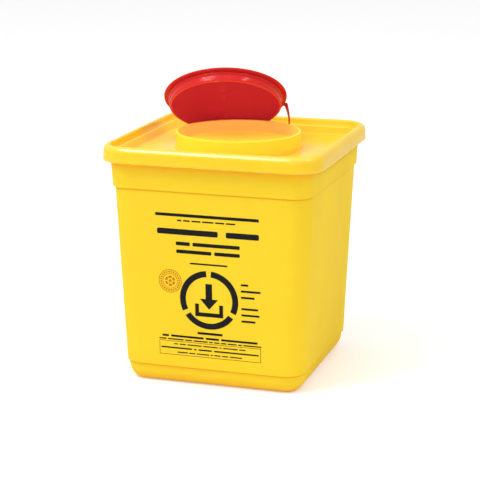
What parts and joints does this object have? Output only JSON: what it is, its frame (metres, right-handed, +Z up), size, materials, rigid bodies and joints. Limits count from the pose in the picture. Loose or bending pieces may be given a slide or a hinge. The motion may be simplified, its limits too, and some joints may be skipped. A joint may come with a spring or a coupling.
{
  "type": "sharps container",
  "caption": "Square tapered plastic bin with a clip-down lid, a round neck with a slit membrane, and a plug cap laid back on a short strap.",
  "frame": {"origin": "centre of the base, on the ground", "axes": "+Z up; -Y is the printed front; +X is to the right seen from the front"},
  "size_m": [0.192, 0.192, 0.2652],
  "materials": {
    "tub_plastic": "moulded polypropylene, fine satin gloss",
    "lid_plastic": "moulded polypropylene, glossy",
    "membrane_plastic": "thin flexible moulded plastic",
    "cap_plastic": "moulded polypropylene, glossy",
    "print_ink": "screen-printed ink",
    "badge_ink": "screen-printed ink"
  },
  "bodies": {
    "container": {"tub": "tub_plastic", "lid": "lid_plastic", "neck_collar": "lid_plastic", "membrane_ring": "membrane_plastic"},
    "petal_01": {"membrane_petal_01": "membrane_plastic"},
    "petal_02": {"membrane_petal_02": "membrane_plastic"},
    "petal_03": {"membrane_petal_03": "membrane_plastic"},
    "petal_04": {"membrane_petal_04": "membrane_plastic"},
    "petal_05": {"membrane_petal_05": "membrane_plastic"},
    "petal_06": {"membrane_petal_06": "membrane_plastic"},
    "petal_07": {"membrane_petal_07": "membrane_plastic"},
    "petal_08": {"membrane_petal_08": "membrane_plastic"},
    "petal_09": {"membrane_petal_09": "membrane_plastic"},
    "petal_10": {"membrane_petal_10": "membrane_plastic"},
    "petal_11": {"membrane_petal_11": "membrane_plastic"},
    "petal_12": {"membrane_petal_12": "membrane_plastic"},
    "strap": {"tether_strap": "cap_plastic"},
    "cap": {"cap": "cap_plastic"}
  },
  "joints": [
    {"name": "petal_01_bend", "type": "hinge", "parent": "container", "child": "petal_01", "pos_m": [0.02985, 0.008, 0.1987], "axis": [0.2588, -0.9659, 0], "range_deg": [0, 60], "stiffness_Nm_per_rad": 0.004},
    {"name": "petal_02_bend", "type": "hinge", "parent": "container", "child": "petal_02", "pos_m": [0.02185, 0.02185, 0.1987], "axis": [0.7071, -0.7071, 0], "range_deg": [0, 60], "stiffness_Nm_per_rad": 0.004},
    {"name": "petal_03_bend", "type": "hinge", "parent": "container", "child": "petal_03", "pos_m": [0.008, 0.02985, 0.1987], "axis": [0.9659, -0.2588, 0], "range_deg": [0, 60], "stiffness_Nm_per_rad": 0.004},
    {"name": "petal_04_bend", "type": "hinge", "parent": "container", "child": "petal_04", "pos_m": [-0.008, 0.02985, 0.1987], "axis": [0.9659, 0.2588, 0], "range_deg": [0, 60], "stiffness_Nm_per_rad": 0.004},
    {"name": "petal_05_bend", "type": "hinge", "parent": "container", "child": "petal_05", "pos_m": [-0.02185, 0.02185, 0.1987], "axis": [0.7071, 0.7071, 0], "range_deg": [0, 60], "stiffness_Nm_per_rad": 0.004},
    {"name": "petal_06_bend", "type": "hinge", "parent": "container", "child": "petal_06", "pos_m": [-0.02985, 0.008, 0.1987], "axis": [0.2588, 0.9659, 0], "range_deg": [0, 60], "stiffness_Nm_per_rad": 0.004},
    {"name": "petal_07_bend", "type": "hinge", "parent": "container", "child": "petal_07", "pos_m": [-0.02985, -0.008, 0.1987], "axis": [-0.2588, 0.9659, 0], "range_deg": [0, 60], "stiffness_Nm_per_rad": 0.004},
    {"name": "petal_08_bend", "type": "hinge", "parent": "container", "child": "petal_08", "pos_m": [-0.02185, -0.02185, 0.1987], "axis": [-0.7071, 0.7071, 0], "range_deg": [0, 60], "stiffness_Nm_per_rad": 0.004},
    {"name": "petal_09_bend", "type": "hinge", "parent": "container", "child": "petal_09", "pos_m": [-0.008, -0.02985, 0.1987], "axis": [-0.9659, 0.2588, 0], "range_deg": [0, 60], "stiffness_Nm_per_rad": 0.004},
    {"name": "petal_10_bend", "type": "hinge", "parent": "container", "child": "petal_10", "pos_m": [0.008, -0.02985, 0.1987], "axis": [-0.9659, -0.2588, 0], "range_deg": [0, 60], "stiffness_Nm_per_rad": 0.004},
    {"name": "petal_11_bend", "type": "hinge", "parent": "container", "child": "petal_11", "pos_m": [0.02185, -0.02185, 0.1987], "axis": [-0.7071, -0.7071, 0], "range_deg": [0, 60], "stiffness_Nm_per_rad": 0.004},
    {"name": "petal_12_bend", "type": "hinge", "parent": "container", "child": "petal_12", "pos_m": [0.02985, -0.008, 0.1987], "axis": [-0.2588, -0.9659, 0], "range_deg": [0, 60], "stiffness_Nm_per_rad": 0.004},
    {"name": "strap_swing", "type": "hinge", "parent": "container", "child": "strap", "pos_m": [0.02799, 0.06922, 0.19758], "axis": [-0.6337, -0.1239, 0.7636], "range_deg": [-98.57, 0], "deforming": ["tether_strap"]},
    {"name": "cap_turn", "type": "hinge", "parent": "strap", "child": "cap", "pos_m": [0.024, 0.06038, 0.22383], "axis": [0.4783, -0.4293, -0.7661], "range_deg": [-125.33, 0]}
  ],
  "couplings": [
    {"joint": "petal_02_bend", "follows": "petal_01_bend", "ratio": 1},
    {"joint": "petal_03_bend", "follows": "petal_01_bend", "ratio": 1},
    {"joint": "petal_04_bend", "follows": "petal_01_bend", "ratio": 1},
    {"joint": "petal_05_bend", "follows": "petal_01_bend", "ratio": 1},
    {"joint": "petal_06_bend", "follows": "petal_01_bend", "ratio": 1},
    {"joint": "petal_07_bend", "follows": "petal_01_bend", "ratio": 1},
    {"joint": "petal_08_bend", "follows": "petal_01_bend", "ratio": 1},
    {"joint": "petal_09_bend", "follows": "petal_01_bend", "ratio": 1},
    {"joint": "petal_10_bend", "follows": "petal_01_bend", "ratio": 1},
    {"joint": "petal_11_bend", "follows": "petal_01_bend", "ratio": 1},
    {"joint": "petal_12_bend", "follows": "petal_01_bend", "ratio": 1},
    {"joint": "cap_turn", "follows": "strap_swing", "ratio": 1.2713}
  ]
}
